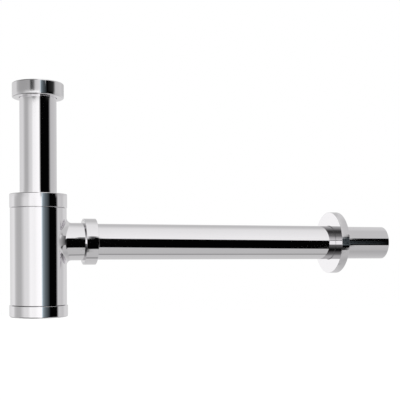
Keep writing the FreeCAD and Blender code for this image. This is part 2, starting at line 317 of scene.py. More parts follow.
class TrapFinishes(bpy.types.PropertyGroup):
    """Colours and gloss of the finishes."""
    chrome: bpy.props.FloatVectorProperty(
        name="Chrome", description="Colour of the bright chrome plate",
        subtype="COLOR", size=3, default=(0.912, 0.898, 0.916), min=0.0, max=1.0)
    chrome_roughness: bpy.props.FloatProperty(
        name="Chrome roughness", description="Blur of the reflections in the chrome",
        default=0.045, min=0.0, max=1.0, subtype="FACTOR")
    rubber: bpy.props.FloatVectorProperty(
        name="Rubber", description="Colour of the seals and rings",
        subtype="COLOR", size=3, default=(0.028, 0.028, 0.03), min=0.0, max=1.0)
    plastic: bpy.props.FloatVectorProperty(
        name="White plastic", description="Colour of the dip tube and slip rings",
        subtype="COLOR", size=3, default=(0.80, 0.80, 0.77), min=0.0, max=1.0)


# Materials

def new_nodes(material):
    """The node tree of a new material and its main shader."""
    material.use_nodes = True
    tree = material.node_tree
    return tree, tree.nodes["Principled BSDF"]


def plug(tree, value, socket):
    """Feeds a socket from another one, or sets it to a plain value."""
    if isinstance(value, bpy.types.NodeSocket):
        tree.links.new(value, socket)
    else:
        socket.default_value = value


def blend(tree, factor, first, second):
    """A colour that runs from first to second with the factor."""
    node = tree.nodes.new("ShaderNodeMix")
    node.data_type = "RGBA"
    plug(tree, factor, node.inputs[MIX_FACTOR])
    plug(tree, first, node.inputs[MIX_FIRST])
    plug(tree, second, node.inputs[MIX_SECOND])
    return node.outputs[MIX_RESULT]


def noise(tree, scale, detail, low=0.0, high=1.0):
    """A noise on Object coordinates, mapped from its usual span to low and high."""
    place = tree.nodes.new("ShaderNodeTexCoord")
    grain = tree.nodes.new("ShaderNodeTexNoise")
    grain.inputs["Scale"].default_value = scale
    grain.inputs["Detail"].default_value = detail
    spread = tree.nodes.new("ShaderNodeMapRange")
    spread.inputs["From Min"].default_value = USUAL_NOISE[0]
    spread.inputs["From Max"].default_value = USUAL_NOISE[1]
    spread.inputs["To Min"].default_value = low
    spread.inputs["To Max"].default_value = high
    tree.links.new(place.outputs["Object"], grain.inputs["Vector"])
    tree.links.new(grain.outputs["Fac"], spread.inputs["Value"])
    return spread.outputs["Result"]


def bump(tree, shader, height, strength, distance):
    """Raises the surface by the distance where the height is 1."""
    lift = tree.nodes.new("ShaderNodeBump")
    lift.inputs["Strength"].default_value = strength
    lift.inputs["Distance"].default_value = distance
    tree.links.new(height, lift.inputs["Height"])
    tree.links.new(lift.outputs["Normal"], shader.inputs["Normal"])


def toned(tree, shader, tone, colour, shares):
    """Gives the shader a base colour that runs with the tone between two shares of a colour."""
    dark, light = ((*(channel * share for channel in colour), 1) for share in shares)
    tree.links.new(blend(tree, tone, dark, light), shader.inputs["Base Color"])


def chrome_material():
    """Bright chrome plate: nearly a mirror, with a faint haze that varies over the metal."""
    finish = bpy.context.scene.trap_finishes
    material = bpy.data.materials.new("bright_chrome")
    tree, shader = new_nodes(material)
    shader.inputs["Metallic"].default_value = 1.0
    low, high = (finish.chrome_roughness * share for share in CHROME_HAZE)
    haze = noise(tree, scale=55.0, detail=3.0, low=low, high=high)
    tree.links.new(haze, shader.inputs["Roughness"])
    toned(tree, shader, noise(tree, scale=18.0, detail=2.0), finish.chrome, CHROME_TONES)
    return material


def rubber_material():
    """Matt black rubber with a fine moulded grain."""
    finish = bpy.context.scene.trap_finishes
    material = bpy.data.materials.new("black_rubber")
    tree, shader = new_nodes(material)
    shader.inputs["Roughness"].default_value = 0.62
    shader.inputs["IOR"].default_value = 1.52
    toned(tree, shader, noise(tree, scale=420.0, detail=4.0), finish.rubber, RUBBER_TONES)
    grain = noise(tree, scale=2600.0, detail=2.0)
    bump(tree, shader, grain, strength=0.25, distance=0.05 * MM)
    return material


def plastic_material():
    """White polypropylene, slightly clouded and satin."""
    finish = bpy.context.scene.trap_finishes
    material = bpy.data.materials.new("white_plastic")
    tree, shader = new_nodes(material)
    shader.inputs["IOR"].default_value = 1.49
    gloss = noise(tree, scale=130.0, detail=3.0, low=PLASTIC_GLOSS[0], high=PLASTIC_GLOSS[1])
    tree.links.new(gloss, shader.inputs["Roughness"])
    toned(tree, shader, noise(tree, scale=60.0, detail=3.0), finish.plastic, PLASTIC_TONES)
    grain = noise(tree, scale=900.0, detail=2.0)
    bump(tree, shader, grain, strength=0.12, distance=0.04 * MM)
    return material


MAKERS = {
    "chrome": chrome_material,
    "black_rubber": rubber_material,
    "white_plastic": plastic_material,
}


def material_of(finish):
    """The material of a record slot, made the first time that a piece asks for it."""
    for material in bpy.data.materials:
        if material.get("trap_finish") == finish:
            return material
    material = MAKERS[finish]()
    material["trap_finish"] = finish
    return material


def dressed(piece, finish, body, *nodes):
    """Gives a finished piece its material and the body that carries it."""
    piece.data.materials.clear()
    piece.data.materials.append(material_of(finish))
    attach(piece, body)
    if nodes:
        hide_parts(*nodes)


def finish_node(node, finish):
    """Gives a CAD node that stays in view its material."""
    NODES[node].data.materials.clear()
    NODES[node].data.materials.append(material_of(finish))


# Modelling

def only(piece=None):
    """Selects one piece and nothing else, so that an operator reaches only that piece."""
    if bpy.context.object and bpy.context.object.mode != "OBJECT":
        bpy.ops.object.mode_set(mode="OBJECT")
    bpy.ops.object.select_all(action="DESELECT")
    if piece:
        piece.select_set(True)
        bpy.context.view_layer.objects.active = piece


def settled(piece):
    """Puts a piece's place, turn and size into its mesh."""
    only(piece)
    bpy.ops.object.transform_apply(location=True, rotation=True, scale=True)
    return piece


def turned(name, corners, filled=False, closed=True):
    """A round piece: one ring of edges, extruded from corner to corner (radius, height) in mm.
    A closed section ends on its first ring, a filled piece has a disc at both ends instead, and
    one that is neither is an open skin."""
    only()
    radius, height = corners[0]
    bpy.ops.mesh.primitive_circle_add(
        vertices=STEPS_ROUND, radius=radius * MM, location=(0, 0, height * MM))
    piece = bpy.context.object
    piece.name = piece.data.name = name
    bpy.context.tool_settings.mesh_select_mode = (False, True, False)
    bpy.ops.object.mode_set(mode="EDIT")
    bpy.ops.mesh.select_all(action="SELECT")
    if filled:
        bpy.ops.mesh.edge_face_add()
        bpy.ops.mesh.select_mode(type="EDGE")
    last = corners[:1] if closed and not filled else []
    for next_radius, next_height in corners[1:] + last:
        rise = (next_height - height) * MM
        widen = next_radius / radius
        bpy.ops.mesh.extrude_edges_move(TRANSFORM_OT_translate={"value": (0, 0, rise)})
        bpy.ops.transform.resize(value=(widen, widen, 1), center_override=(0, 0, 0))
        radius, height = next_radius, next_height
    if filled:
        bpy.ops.mesh.edge_face_add()
    bpy.ops.mesh.select_all(action="SELECT")
    bpy.ops.mesh.remove_doubles(threshold=MERGE)
    bpy.ops.mesh.normals_make_consistent(inside=False)
    bpy.ops.object.mode_set(mode="OBJECT")
    return settled(piece)


def select_nothing(mesh):
    """Deselects every part of a mesh, so that code can select some by their place."""
    for part in (mesh.vertices, mesh.edges, mesh.polygons):
        part.foreach_set("select", [False] * len(part))


def rounded(piece, size, *rims):
    """Rounds the ring of edges at each of the given corners (radius, height) in mm."""
    only(piece)
    mesh = piece.data
    select_nothing(mesh)
    for edge in mesh.edges:
        ends = [mesh.vertices[v].co for v in edge.vertices]
        for radius, height in rims:
            if all(abs(end.xy.length - radius * MM) < SAME_PLACE
                   and abs(end.z - height * MM) < SAME_PLACE for end in ends):
                edge.select = True
    bpy.context.tool_settings.mesh_select_mode = (False, True, False)
    bpy.ops.object.mode_set(mode="EDIT")
    bpy.ops.mesh.bevel(offset=size, segments=EDGE_STEPS, profile=0.5, affect="EDGES")
    bpy.ops.object.mode_set(mode="OBJECT")
    return piece


def laid(piece):
    """Turns a piece made about Z so that its height runs along the outlet."""
    piece.rotation_euler = (0, math.pi / 2, 0)
    piece.location = (0, 0, OUTLET_LEVEL)
    return settled(piece)


def smoothed(piece):
    """Smooth metal with true flats: soft over small roundings and crisp at corners."""
    only(piece)
    bpy.ops.object.shade_smooth_by_angle(angle=SMOOTH_ANGLE)
    bpy.ops.object.modifier_add(type="WEIGHTED_NORMAL")
    weighing = piece.modifiers[-1]
    weighing.keep_sharp = True
    weighing.weight = 100
    bpy.ops.object.modifier_apply(modifier=weighing.name)
    return piece


def merged_copy(name, node):
    """A copy of a CAD node with its loose triangles merged into one skin."""
    only(NODES[node])
    bpy.ops.object.duplicate()
    piece = bpy.context.object
    piece.name = piece.data.name = name
    bpy.ops.object.parent_clear(type="CLEAR_KEEP_TRANSFORM")
    bpy.ops.mesh.customdata_custom_splitnormals_clear()
    bpy.ops.object.mode_set(mode="EDIT")
    bpy.ops.mesh.select_all(action="SELECT")
    bpy.ops.mesh.remove_doubles(threshold=MERGE)
    bpy.ops.object.mode_set(mode="OBJECT")
    return settled(piece)


def saddle_point(bottle, side, share):
    """A point of the saddle, as (along the branch, out from its axis) in mm. bottle is the
    bottle's radius, side runs from 0 at the top and bottom to 1 at the front and back, and share
    from 0 on the bottle to 1 on the branch."""
    branch = BRANCH + SADDLE_PROUD
    height, end = (top + (front - top) * side for top, front in zip(SADDLE_TOP, SADDLE_FRONT))
    out = branch + height
    start = math.sqrt(bottle ** 2 - out ** 2 * side)
    first = Vector((start, out))
    last = Vector((end, branch))
    corner = Vector((start + height * out * side / start, branch))
    pull = SADDLE_PULL[0] + (SADDLE_PULL[1] - SADDLE_PULL[0]) * side
    near_first = first.lerp(corner, pull)
    near_last = last.lerp(corner, pull)
    rest = 1 - share
    return (first * rest ** 3 + near_first * 3 * rest ** 2 * share
            + near_last * 3 * rest * share ** 2 + last * share ** 3)


def branch_saddle():
    """The casting's blend between bottle and branch: a skin of bent rings that lies on both,
    wide at the front and the back, and short at the top and the bottom."""
    rings = [(BRANCH, step) for step in range(SADDLE_RINGS + 1)]
    saddle = laid(turned("branch_saddle", rings, closed=False))
    bottle = reach("trap_body") / MM + SADDLE_PROUD
    for vertex in saddle.data.vertices:
        out = Vector((vertex.co.y, vertex.co.z - OUTLET_LEVEL)).normalized()
        along, away = saddle_point(bottle, out.x ** 2, vertex.co.x / MM / SADDLE_RINGS)
        vertex.co = (along * MM, out.x * away * MM, OUTLET_LEVEL + out.y * away * MM)
    only(saddle)
    bpy.ops.object.modifier_add(type="SOLIDIFY")
    skin = saddle.modifiers[-1]
    skin.thickness = SADDLE_SKIN * MM
    skin.offset = -1
    bpy.ops.object.modifier_apply(modifier=skin.name)
    bpy.ops.object.shade_smooth_by_angle(angle=SMOOTH_ANGLE)
    return saddle


def ridge(name, root, crest, foot, tip, pitch, bottom, top):
    """The ridge of a screw thread about Z, wound from a small section and faded at its ends.
    root and crest are radii, and foot and tip widths, in mm."""
    only()
    turns = (top - bottom - foot) / pitch
    steps = int(THREAD_STEPS * turns)
    bpy.ops.mesh.primitive_plane_add(
        size=MM, location=((root + crest) / 2 * MM, 0, (bottom + foot / 2) * MM),
        rotation=(math.pi / 2, 0, 0))
    piece = bpy.context.object
    piece.name = piece.data.name = name
    piece.scale = (abs(crest - root), foot, 1)
    settled(piece)
    mesh = piece.data
    select_nothing(mesh)
    for vertex in mesh.vertices:
        vertex.select = abs(vertex.co.x - crest * MM) < SAME_PLACE
    bpy.context.tool_settings.mesh_select_mode = (True, False, False)
    bpy.ops.object.mode_set(mode="EDIT")
    bpy.ops.transform.resize(
        value=(1, 1, tip / foot), center_override=(crest * MM, 0, (bottom + foot / 2) * MM))
    bpy.ops.mesh.select_all(action="SELECT")
    bpy.ops.mesh.delete(type="ONLY_FACE")
    bpy.ops.object.mode_set(mode="OBJECT")
    bpy.ops.object.modifier_add(type="SCREW")
    winding = piece.modifiers[-1]
    winding.axis = "Z"
    winding.angle = 2 * math.pi * turns
    winding.screw_offset = pitch * turns * MM
    winding.steps = winding.render_steps = steps
    bpy.ops.object.modifier_apply(modifier=winding.name)
    fade(piece, root, crest, pitch, turns, bottom + foot / 2)
    bpy.ops.object.mode_set(mode="EDIT")
    bpy.ops.mesh.select_all(action="SELECT")
    bpy.ops.mesh.fill_holes(sides=4)
    bpy.ops.mesh.select_all(action="SELECT")
    bpy.ops.mesh.normals_make_consistent(inside=False)
    bpy.ops.object.mode_set(mode="OBJECT")
    return piece


def fade(piece, root, crest, pitch, turns, start):
    """Draws the crest of a thread's ridge back to its root over the last part of each end."""
    mesh = piece.data
    middle = (root + crest) / 2 * MM
    outward = crest > root
    for vertex in mesh.vertices:
        radius = vertex.co.xy.length
        if (radius > middle) != outward:
            continue
        angle = math.atan2(vertex.co.y, vertex.co.x) / (2 * math.pi)
        along = (vertex.co.z / MM - start) / pitch
        wound = angle + round(along - angle)
        near_end = min(wound, turns - wound) / FADE_TURN
        if near_end < 1:
            kept = max(near_end, FADE_LEAST)
            wanted = (root + (crest - root) * kept) * MM
            vertex.co.x *= wanted / radius
            vertex.co.y *= wanted / radius


def joined(piece, *others):
    """Joins other meshes into a piece."""
    only(piece)
    for other in others:
        other.select_set(True)
    bpy.ops.object.join()
    return piece


def o_ring(name, middle, thickness, height):
    """A round rubber ring with the thin line of its mould round the outside and the inside."""
    only()
    bpy.ops.mesh.primitive_torus_add(
        major_segments=RING_STEPS, minor_segments=RING_SECTION_STEPS,
        major_radius=middle * MM, minor_radius=thickness / 2 * MM, location=(0, 0, height * MM))
    piece = bpy.context.object
    piece.name = piece.data.name = name
    settled(piece)
    mesh = piece.data
    select_nothing(mesh)
    for edge in mesh.edges:
        ends = [mesh.vertices[v].co for v in edge.vertices]
        if all(abs(end.z - height * MM) < SAME_PLACE for end in ends):
            edge.select = abs(ends[0].xy.length - ends[1].xy.length) < SAME_PLACE
    bpy.context.tool_settings.mesh_select_mode = (False, True, False)
    bpy.ops.object.mode_set(mode="EDIT")
    bpy.ops.mesh.bevel(offset=MOULD_LINE * MM, segments=2, profile=1.0, affect="EDGES")
    bpy.ops.object.mode_set(mode="OBJECT")
    bpy.ops.object.shade_smooth()
    return piece


def body_ridge(name, core, outward, bottom, top):
    """A ridge of the body's thread: outward on a male core, inward in a female bore."""
    sizes = bpy.context.scene.trap_sizes
    depth = sizes.thread_depth / MM
    pitch = sizes.thread_pitch / MM
    foot = THREAD_FOOT * pitch
    tip = THREAD_TIP * pitch
    way = 1 if outward else -1
    root = core - way * THREAD_SINK
    return ridge(name, root, core + way * depth, foot, tip, pitch, bottom, top)


class TRAP_OT_inlet_nut(bpy.types.Operator):
    """Build the round inlet nut with its pipe thread"""
    bl_idname = "trap.inlet_nut"
    bl_label = "Inlet Nut"
    bl_options = {"REGISTER", "UNDO"}

    def execute(self, context):
        sizes = context.scene.trap_sizes
        outer = reach("inlet_nut") / MM
        bottom = level("inlet_nut", 0) / MM
        top = level("inlet_nut", 1) / MM
        nut = turned("round_inlet_nut", [
            (TUBE_HOLE, bottom), (outer, bottom), (outer, top), (INLET_THREAD, top),
            (INLET_THREAD, INLET_WASHER_TOP), (INLET_SEAT, INLET_WASHER_TOP),
            (INLET_SEAT, INLET_RIM_BOTTOM), (TUBE_HOLE, INLET_RIM_BOTTOM)])
        rounded(nut, sizes.nut_edge_radius, (outer, bottom), (outer, top))
        rounded(nut, sizes.edge_radius, (INLET_THREAD, top), (TUBE_HOLE, bottom))
        depth = sizes.inlet_depth / MM
        pitch = sizes.inlet_pitch / MM
        thread = ridge("inlet_ridge", INLET_THREAD + THREAD_SINK, INLET_THREAD - depth,
                       INLET_THREAD_FOOT * pitch, INLET_THREAD_TIP * pitch, pitch,
                       INLET_WASHER_TOP + THREAD_GAP, top - INLET_LEAD)
        dressed(smoothed(joined(nut, thread)), "chrome", "inlet_union", "inlet_nut")
        return {"FINISHED"}


class TRAP_OT_tubes(bpy.types.Operator):
    """Build the inlet tube and the long outlet tube"""
    bl_idname = "trap.tubes"
    bl_label = "Tubes"
    bl_options = {"REGISTER", "UNDO"}

    def execute(self, context):
        bottom = level("inlet_tube", 0) / MM
        top = level("inlet_tube", 1) / MM
        rim = reach("inlet_tube") / MM
        inlet = turned("polished_inlet_tube", [
            (TUBE_BORE, bottom), (TUBE, bottom), (TUBE, INLET_RIM_BOTTOM),
            (rim, INLET_RIM_BOTTOM), (rim, top), (TUBE_BORE, top)])
        rounded(inlet, TUBE_EDGE * MM, (TUBE, bottom), (TUBE_BORE, bottom), (rim, top),
                (rim, INLET_RIM_BOTTOM))
        rounded(inlet, TUBE_MOUTH_EDGE * MM, (TUBE_BORE, top))
        dressed(smoothed(inlet), "chrome", "inlet_pipe", "inlet_tube")

        start = station("outlet_tube", 0) / MM
        end = station("outlet_tube", 1) / MM
        drawn = DRAWN_START + DRAWN_TAPER
        drawn_bore = DRAWN - DRAWN_WALL
        outlet = turned("polished_outlet_tube", [
            (TUBE_BORE, start), (TUBE, start), (TUBE, DRAWN_START), (DRAWN, drawn),
            (DRAWN, end), (drawn_bore, end), (drawn_bore, drawn), (TUBE_BORE, DRAWN_START)])
        rounded(outlet, TUBE_EDGE * MM, (TUBE, start), (TUBE_BORE, start), (DRAWN, end),
                (drawn_bore, end))
        dressed(smoothed(laid(outlet)), "chrome", "outlet_pipe", "outlet_tube")
        return {"FINISHED"}


class TRAP_OT_collar(bpy.types.Operator):
    """Build the collar that clamps the inlet tube"""
    bl_idname = "trap.collar"
    bl_label = "Collar"
    bl_options = {"REGISTER", "UNDO"}

    def execute(self, context):
        sizes = context.scene.trap_sizes
        outer = reach("collar_nut") / MM
        bottom = level("collar_nut", 0) / MM
        top = level("collar_nut", 1) / MM
        collar = turned("smooth_collar", [
            (COLLAR_BORE, bottom), (outer, bottom), (outer, top), (TUBE_HOLE, top),
            (TUBE_HOLE, COLLAR_CEILING), (COLLAR_BORE, COLLAR_CEILING)])
        rounded(collar, sizes.edge_radius * COLLAR_EDGE, (outer, top))
        rounded(collar, INNER_EDGE * MM, (outer, bottom), (COLLAR_BORE, bottom),
                (TUBE_HOLE, top))
        thread = body_ridge("collar_ridge", COLLAR_BORE, False,
                            bottom + THREAD_SHIFT, NECK_TOP + THREAD_SHIFT)
        dressed(smoothed(joined(collar, thread)), "chrome", "collar", "collar_nut")
        return {"FINISHED"}


class TRAP_OT_bottle(bpy.types.Operator):
    """Finish the bottle and add the ridges of its three threads"""
    bl_idname = "trap.bottle"
    bl_label = "Bottle"
    bl_options = {"REGISTER", "UNDO"}

    def execute(self, context):
        bottle = merged_copy("chrome_bottle", "trap_body")
        bpy.ops.object.shade_smooth_by_angle(angle=SMOOTH_ANGLE)
        dressed(bottle, "chrome", "bottle", "trap_body")
        dressed(branch_saddle(), "chrome", "bottle")
        shoulder = level("collar_nut", 0) / MM
        neck = body_ridge("neck_thread", NECK_CORE, True, shoulder, NECK_TOP)
        dressed(smoothed(neck), "chrome", "bottle")
        foot = body_ridge("cup_seat_thread", BODY_BORE, False,
                          COUNTERBORE_TOP, CUP_SPIGOT_TOP + THREAD_SHIFT)
        dressed(smoothed(foot), "chrome", "bottle")
        socket = body_ridge("socket_thread", SOCKET_CORE, True, SOCKET_THREAD_START, SOCKET_END)
        dressed(smoothed(laid(socket)), "chrome", "bottle")
        return {"FINISHED"}


class TRAP_OT_cup(bpy.types.Operator):
    """Build the cleaning cup with its threaded spigot"""
    bl_idname = "trap.cup"
    bl_label = "Cleaning Cup"
    bl_options = {"REGISTER", "UNDO"}

    def execute(self, context):
        sizes = context.scene.trap_sizes
        outer = reach("cup") / MM
        bottom = level("cup", 0) / MM
        cup = turned("cleaning_cup", [
            (outer, bottom), (outer, CUP_RIM), (CUP_GROOVE, CUP_RIM), (CUP_GROOVE, CUP_GROOVE_TOP),
            (CUP_CORE, CUP_GROOVE_TOP), (CUP_CORE, CUP_SPIGOT_TOP),
            (CUP_BORE, CUP_SPIGOT_TOP), (CUP_BORE, CUP_FLOOR)], filled=True)
        rounded(cup, sizes.cup_edge_radius, (outer, bottom))
        rounded(cup, INNER_EDGE * MM, (outer, CUP_RIM), (CUP_CORE, CUP_SPIGOT_TOP),
                (CUP_BORE, CUP_SPIGOT_TOP))
        rounded(cup, CUP_FLOOR_EDGE * MM, (CUP_BORE, CUP_FLOOR))
        thread = body_ridge("cup_ridge", CUP_CORE, True,
                            CUP_GROOVE_TOP + CUP_THREAD_GAP, CUP_SPIGOT_TOP - THREAD_GAP)
        dressed(smoothed(joined(cup, thread)), "chrome", "cleaning_cup", "cup")
        return {"FINISHED"}


class TRAP_OT_outlet_nut(bpy.types.Operator):
    """Build the round nut on the side branch"""
    bl_idname = "trap.outlet_nut"
    bl_label = "Outlet Nut"
    bl_options = {"REGISTER", "UNDO"}

    def execute(self, context):
        sizes = context.scene.trap_sizes
        outer = reach("outlet_nut") / MM
        start = station("outlet_nut", 0) / MM
        end = station("outlet_nut", 1) / MM
        nut = turned("round_outlet_nut", [
            (OUTLET_NUT_BORE, start), (outer, start), (outer, end), (TUBE_HOLE, end),
            (TUBE_HOLE, OUTLET_NUT_CEILING), (OUTLET_NUT_BORE, OUTLET_NUT_CEILING)])
        rounded(nut, sizes.edge_radius * OUTLET_NUT_EDGE, (outer, start), (outer, end))
        rounded(nut, FINE_EDGE * MM, (OUTLET_NUT_BORE, start), (TUBE_HOLE, end))
        thread = body_ridge("outlet_nut_ridge", OUTLET_NUT_BORE, False,
                            SOCKET_THREAD_START - THREAD_SHIFT, SOCKET_END + THREAD_SHIFT)
        dressed(smoothed(laid(joined(nut, thread))), "chrome", "outlet_union", "outlet_nut")
        return {"FINISHED"}


class TRAP_OT_wall_flange(bpy.types.Operator):
    """Build the hollow wall flange with its hub"""
    bl_idname = "trap.wall_flange"
    bl_label = "Wall Flange"
    bl_options = {"REGISTER", "UNDO"}

    def execute(self, context):
        sizes = context.scene.trap_sizes
        outer = reach("wall_flange") / MM
        front = station("wall_flange", 0) / MM
        back = station("wall_flange", 1) / MM
        inner = outer - FLANGE_WALL
        hollow = front + FLANGE_FACE
        groove_end = FLANGE_RING + FLANGE_GROOVE_HALF
        groove_start = FLANGE_RING - FLANGE_GROOVE_HALF
        flange = turned("wall_plate", [
            (TUBE_HOLE, front), (outer, front), (outer, back), (inner, back), (inner, hollow),
            (FLANGE_HUB, hollow), (FLANGE_HUB, FLANGE_HUB_END), (TUBE_HOLE, FLANGE_HUB_END),
            (TUBE_HOLE, groove_end), (FLANGE_GROOVE, groove_end),
            (FLANGE_GROOVE, groove_start), (TUBE_HOLE, groove_start)])
        rounded(flange, sizes.edge_radius * FLANGE_EDGE, (outer, front))
        rounded(flange, FINE_EDGE * MM, (outer, back), (inner, back), (TUBE_HOLE, front),
                (FLANGE_HUB, FLANGE_HUB_END))
        rounded(flange, FLANGE_HOLLOW_EDGE * MM, (inner, hollow), (FLANGE_HUB, hollow))
        dressed(smoothed(laid(flange)), "chrome", "flange", "wall_flange")
        return {"FINISHED"}


class TRAP_OT_seals(bpy.types.Operator):
    """Finish the dip tube, washers, slip rings and seals"""
    bl_idname = "trap.seals"
    bl_label = "Seals and Dip Tube"
    bl_options = {"REGISTER", "UNDO"}

    def execute(self, context):
        for node in ("inlet_washer", "collar_seal", "outlet_seal"):
            finish_node(node, "black_rubber")
        for node in ("collar_slip_ring", "outlet_slip_ring", "dip_tube"):
            finish_node(node, "white_plastic")
        height = (level("cup_o_ring", 0) + level("cup_o_ring", 1)) / 2 / MM
        cup_ring = o_ring("cup_sealing_ring", CUP_RING, CUP_RING_THICKNESS, height)
        dressed(cup_ring, "black_rubber", "cup_ring", "cup_o_ring")
        flange_ring = o_ring("flange_grip_ring", FLANGE_RING_RADIUS, FLANGE_RING_THICKNESS,
                             FLANGE_RING)
        dressed(laid(flange_ring), "black_rubber", "flange_ring", "flange_o_ring")
        return {"FINISHED"}


# Studio

def grey(value):
    """Linear brightness of a screen grey from 0 to 255, seen in the chrome, by the sRGB curve."""
    part = value / 255
    linear = part / 12.92 if part <= 0.04045 else ((part + 0.055) / 1.055) ** 2.4
    return linear / CHROME_MIRROR


def calc(tree, operation, *values):
    """A maths node: its values are sockets or numbers."""
    node = tree.nodes.new("ShaderNodeMath")
    node.operation = operation
    for value, socket in zip(values, node.inputs):
        plug(tree, value, socket)
    return node.outputs[0]


def times(tree, *values):
    """The product of sockets or numbers."""
    product = values[0]
    for value in values[1:]:
        product = calc(tree, "MULTIPLY", product, value)
    return product


def degrees(tree, angle):
    """An angle in radians, turned to degrees."""
    return times(tree, angle, 180 / math.pi)


def step_up(tree, value, border):
    """0 below the border (start, end), 1 above it, and a straight rise between its ends."""
    node = tree.nodes.new("ShaderNodeMapRange")
    node.inputs["From Min"].default_value = border[0]
    node.inputs["From Max"].default_value = border[1]
    tree.links.new(value, node.inputs["Value"])
    return node.outputs["Result"]


def step_down(tree, value, border):
    """1 below the border (start, end) and 0 above it."""
    return calc(tree, "SUBTRACT", 1.0, step_up(tree, value, border))


def ramp(tree, value, span, stops, tint=WHITE_TINT):
    """A ramp over the span (from, to), with a brightness at each (place, brightness)."""
    node = tree.nodes.new("ShaderNodeValToRGB")
    elements = node.color_ramp.elements
    while len(elements) < len(stops):
        elements.new(0.5)
    for element, (place, brightness) in zip(elements, stops):
        element.position = (place - span[0]) / (span[1] - span[0])
        element.color = (*(brightness * channel for channel in tint), 1)
    tree.links.new(step_up(tree, value, span), node.inputs["Fac"])
    return node.outputs["Color"]


def screen(tree, angle, shades):
    """The greys of a screen round the whole turn."""
    return ramp(tree, angle, (-180, 180), [(place, grey(shade)) for place, shade in shades])


def edge(tree, angle, turns):
    """The height of a screen's edge, in degrees, at each angle from the first to the last."""
    stops = [(place, (height + 180) / 360) for place, height in turns]
    part = ramp(tree, angle, (turns[0][0], turns[-1][0]), stops)
    return calc(tree, "SUBTRACT", times(tree, part, 360.0), 180.0)


def studio_walls(tree, around, rise):
    """What the upright pieces see: three rows of screens round the studio."""
    low = screen(tree, around, LOW_WALLS)
    middle = screen(tree, around, MIDDLE_WALLS)
    high = screen(tree, around, HIGH_WALLS)
    lower = blend(tree, step_up(tree, rise, LOW_TO_MIDDLE), low, middle)
    return blend(tree, step_up(tree, rise, MIDDLE_TO_HIGH), lower, high)


def studio_arch(tree, along, over):
    """What the level pieces see: screens that arch over and under, with a long black one."""
    left = screen(tree, over, LEFT_ARCH)
    front = screen(tree, over, FRONT_ARCH)
    right = screen(tree, over, RIGHT_ARCH)
    arch = blend(tree, step_up(tree, along, LEFT_TO_FRONT), left, front)
    arch = blend(tree, step_up(tree, along, FRONT_TO_RIGHT), arch, right)
    under_top = calc(tree, "SUBTRACT", edge(tree, along, BLACK_TOP), over)
    over_foot = calc(tree, "SUBTRACT", over, edge(tree, along, BLACK_FOOT))
    inside = times(tree, step_up(tree, under_top, BLACK_BLUR), step_up(tree, over_foot, BLACK_BLUR),
                   step_up(tree, along, BLACK_START), step_down(tree, along, BLACK_END))
    black = grey(BLACK)
    return blend(tree, inside, arch, (black, black, black, 1))


def studio_world():
    """A white studio with a black screen to the right, seen only in reflections."""
    world = bpy.data.worlds.new("studio")
    bpy.context.scene.world = world
    world.use_nodes = True
    tree = world.node_tree
    tree.nodes.clear()
    way = tree.nodes.new("ShaderNodeTexCoord").outputs["Generated"]
    split = tree.nodes.new("ShaderNodeSeparateXYZ")
    tree.links.new(way, split.inputs[0])
    x, y, z = split.outputs
    towards = times(tree, y, -1.0)
    round_turn = degrees(tree, calc(tree, "ARCTAN2", x, towards))
    side_turn = degrees(tree, calc(tree, "ARCSINE", x))
    around = calc(tree, "ADD", round_turn, CAMERA_AROUND)
    along = calc(tree, "ADD", side_turn, CAMERA_AROUND)
    rise = degrees(tree, calc(tree, "ARCSINE", z))
    over = degrees(tree, calc(tree, "ARCTAN2", z, towards))
    left = step_down(tree, around, UPRIGHT_LEFT)
    right = step_up(tree, around, UPRIGHT_RIGHT)
    upright = times(tree, step_up(tree, rise, UPRIGHT_FOOT), step_down(tree, rise, UPRIGHT_TOP),
                    calc(tree, "ADD", left, right))
    seen = blend(tree, upright, studio_arch(tree, along, over), studio_walls(tree, around, rise))
    studio = tree.nodes.new("ShaderNodeBackground")
    tree.links.new(seen, studio.inputs["Color"])
    backdrop = tree.nodes.new("ShaderNodeBackground")
    backdrop.inputs["Color"].default_value = (1, 1, 1, 1)
    pick = tree.nodes.new("ShaderNodeMixShader")
    tree.links.new(tree.nodes.new("ShaderNodeLightPath").outputs["Is Camera Ray"], pick.inputs[0])
    tree.links.new(studio.outputs[0], pick.inputs[1])
    tree.links.new(backdrop.outputs[0], pick.inputs[2])
    out = tree.nodes.new("ShaderNodeOutputWorld")
    tree.links.new(pick.outputs[0], out.inputs["Surface"])


def sheen_card(name, shades, tint, place, receivers):
    """A see-through card across the view, that glows only for the pieces with the given names.
    Each of its shades is (x, grey), and its place is (y, lowest, highest), all in metres."""
    left, right = shades[0][0], shades[-1][0]
    y, low, high = place
    only()
    bpy.ops.mesh.primitive_plane_add(
        size=1.0, location=((left + right) / 2, y, (low + high) / 2),
        rotation=(math.pi / 2, 0, 0))
    card = bpy.context.object
    card.name = name
    card.scale = (right - left, high - low, 1)
    settled(card)
    material = bpy.data.materials.new(name)
    material.use_nodes = True
    tree = material.node_tree
    tree.nodes.clear()
    point = tree.nodes.new("ShaderNodeTexCoord").outputs["Object"]
    split = tree.nodes.new("ShaderNodeSeparateXYZ")
    tree.links.new(point, split.inputs[0])
    stops = [(x, grey(shade)) for x, shade in shades]
    glow = tree.nodes.new("ShaderNodeEmission")
    tree.links.new(ramp(tree, split.outputs[0], (left, right), stops, tint), glow.inputs["Color"])
    clear = tree.nodes.new("ShaderNodeBsdfTransparent")
    both = tree.nodes.new("ShaderNodeAddShader")
    tree.links.new(glow.outputs[0], both.inputs[0])
    tree.links.new(clear.outputs[0], both.inputs[1])
    out = tree.nodes.new("ShaderNodeOutputMaterial")
    tree.links.new(both.outputs[0], out.inputs["Surface"])
    card.data.materials.append(material)
    group = bpy.data.collections.new(name + "_pieces")
    for receiver in receivers:
        group.objects.link(bpy.data.objects[receiver])
    card.light_linking.receiver_collection = group
    card.visible_camera = False
    card.visible_shadow = False


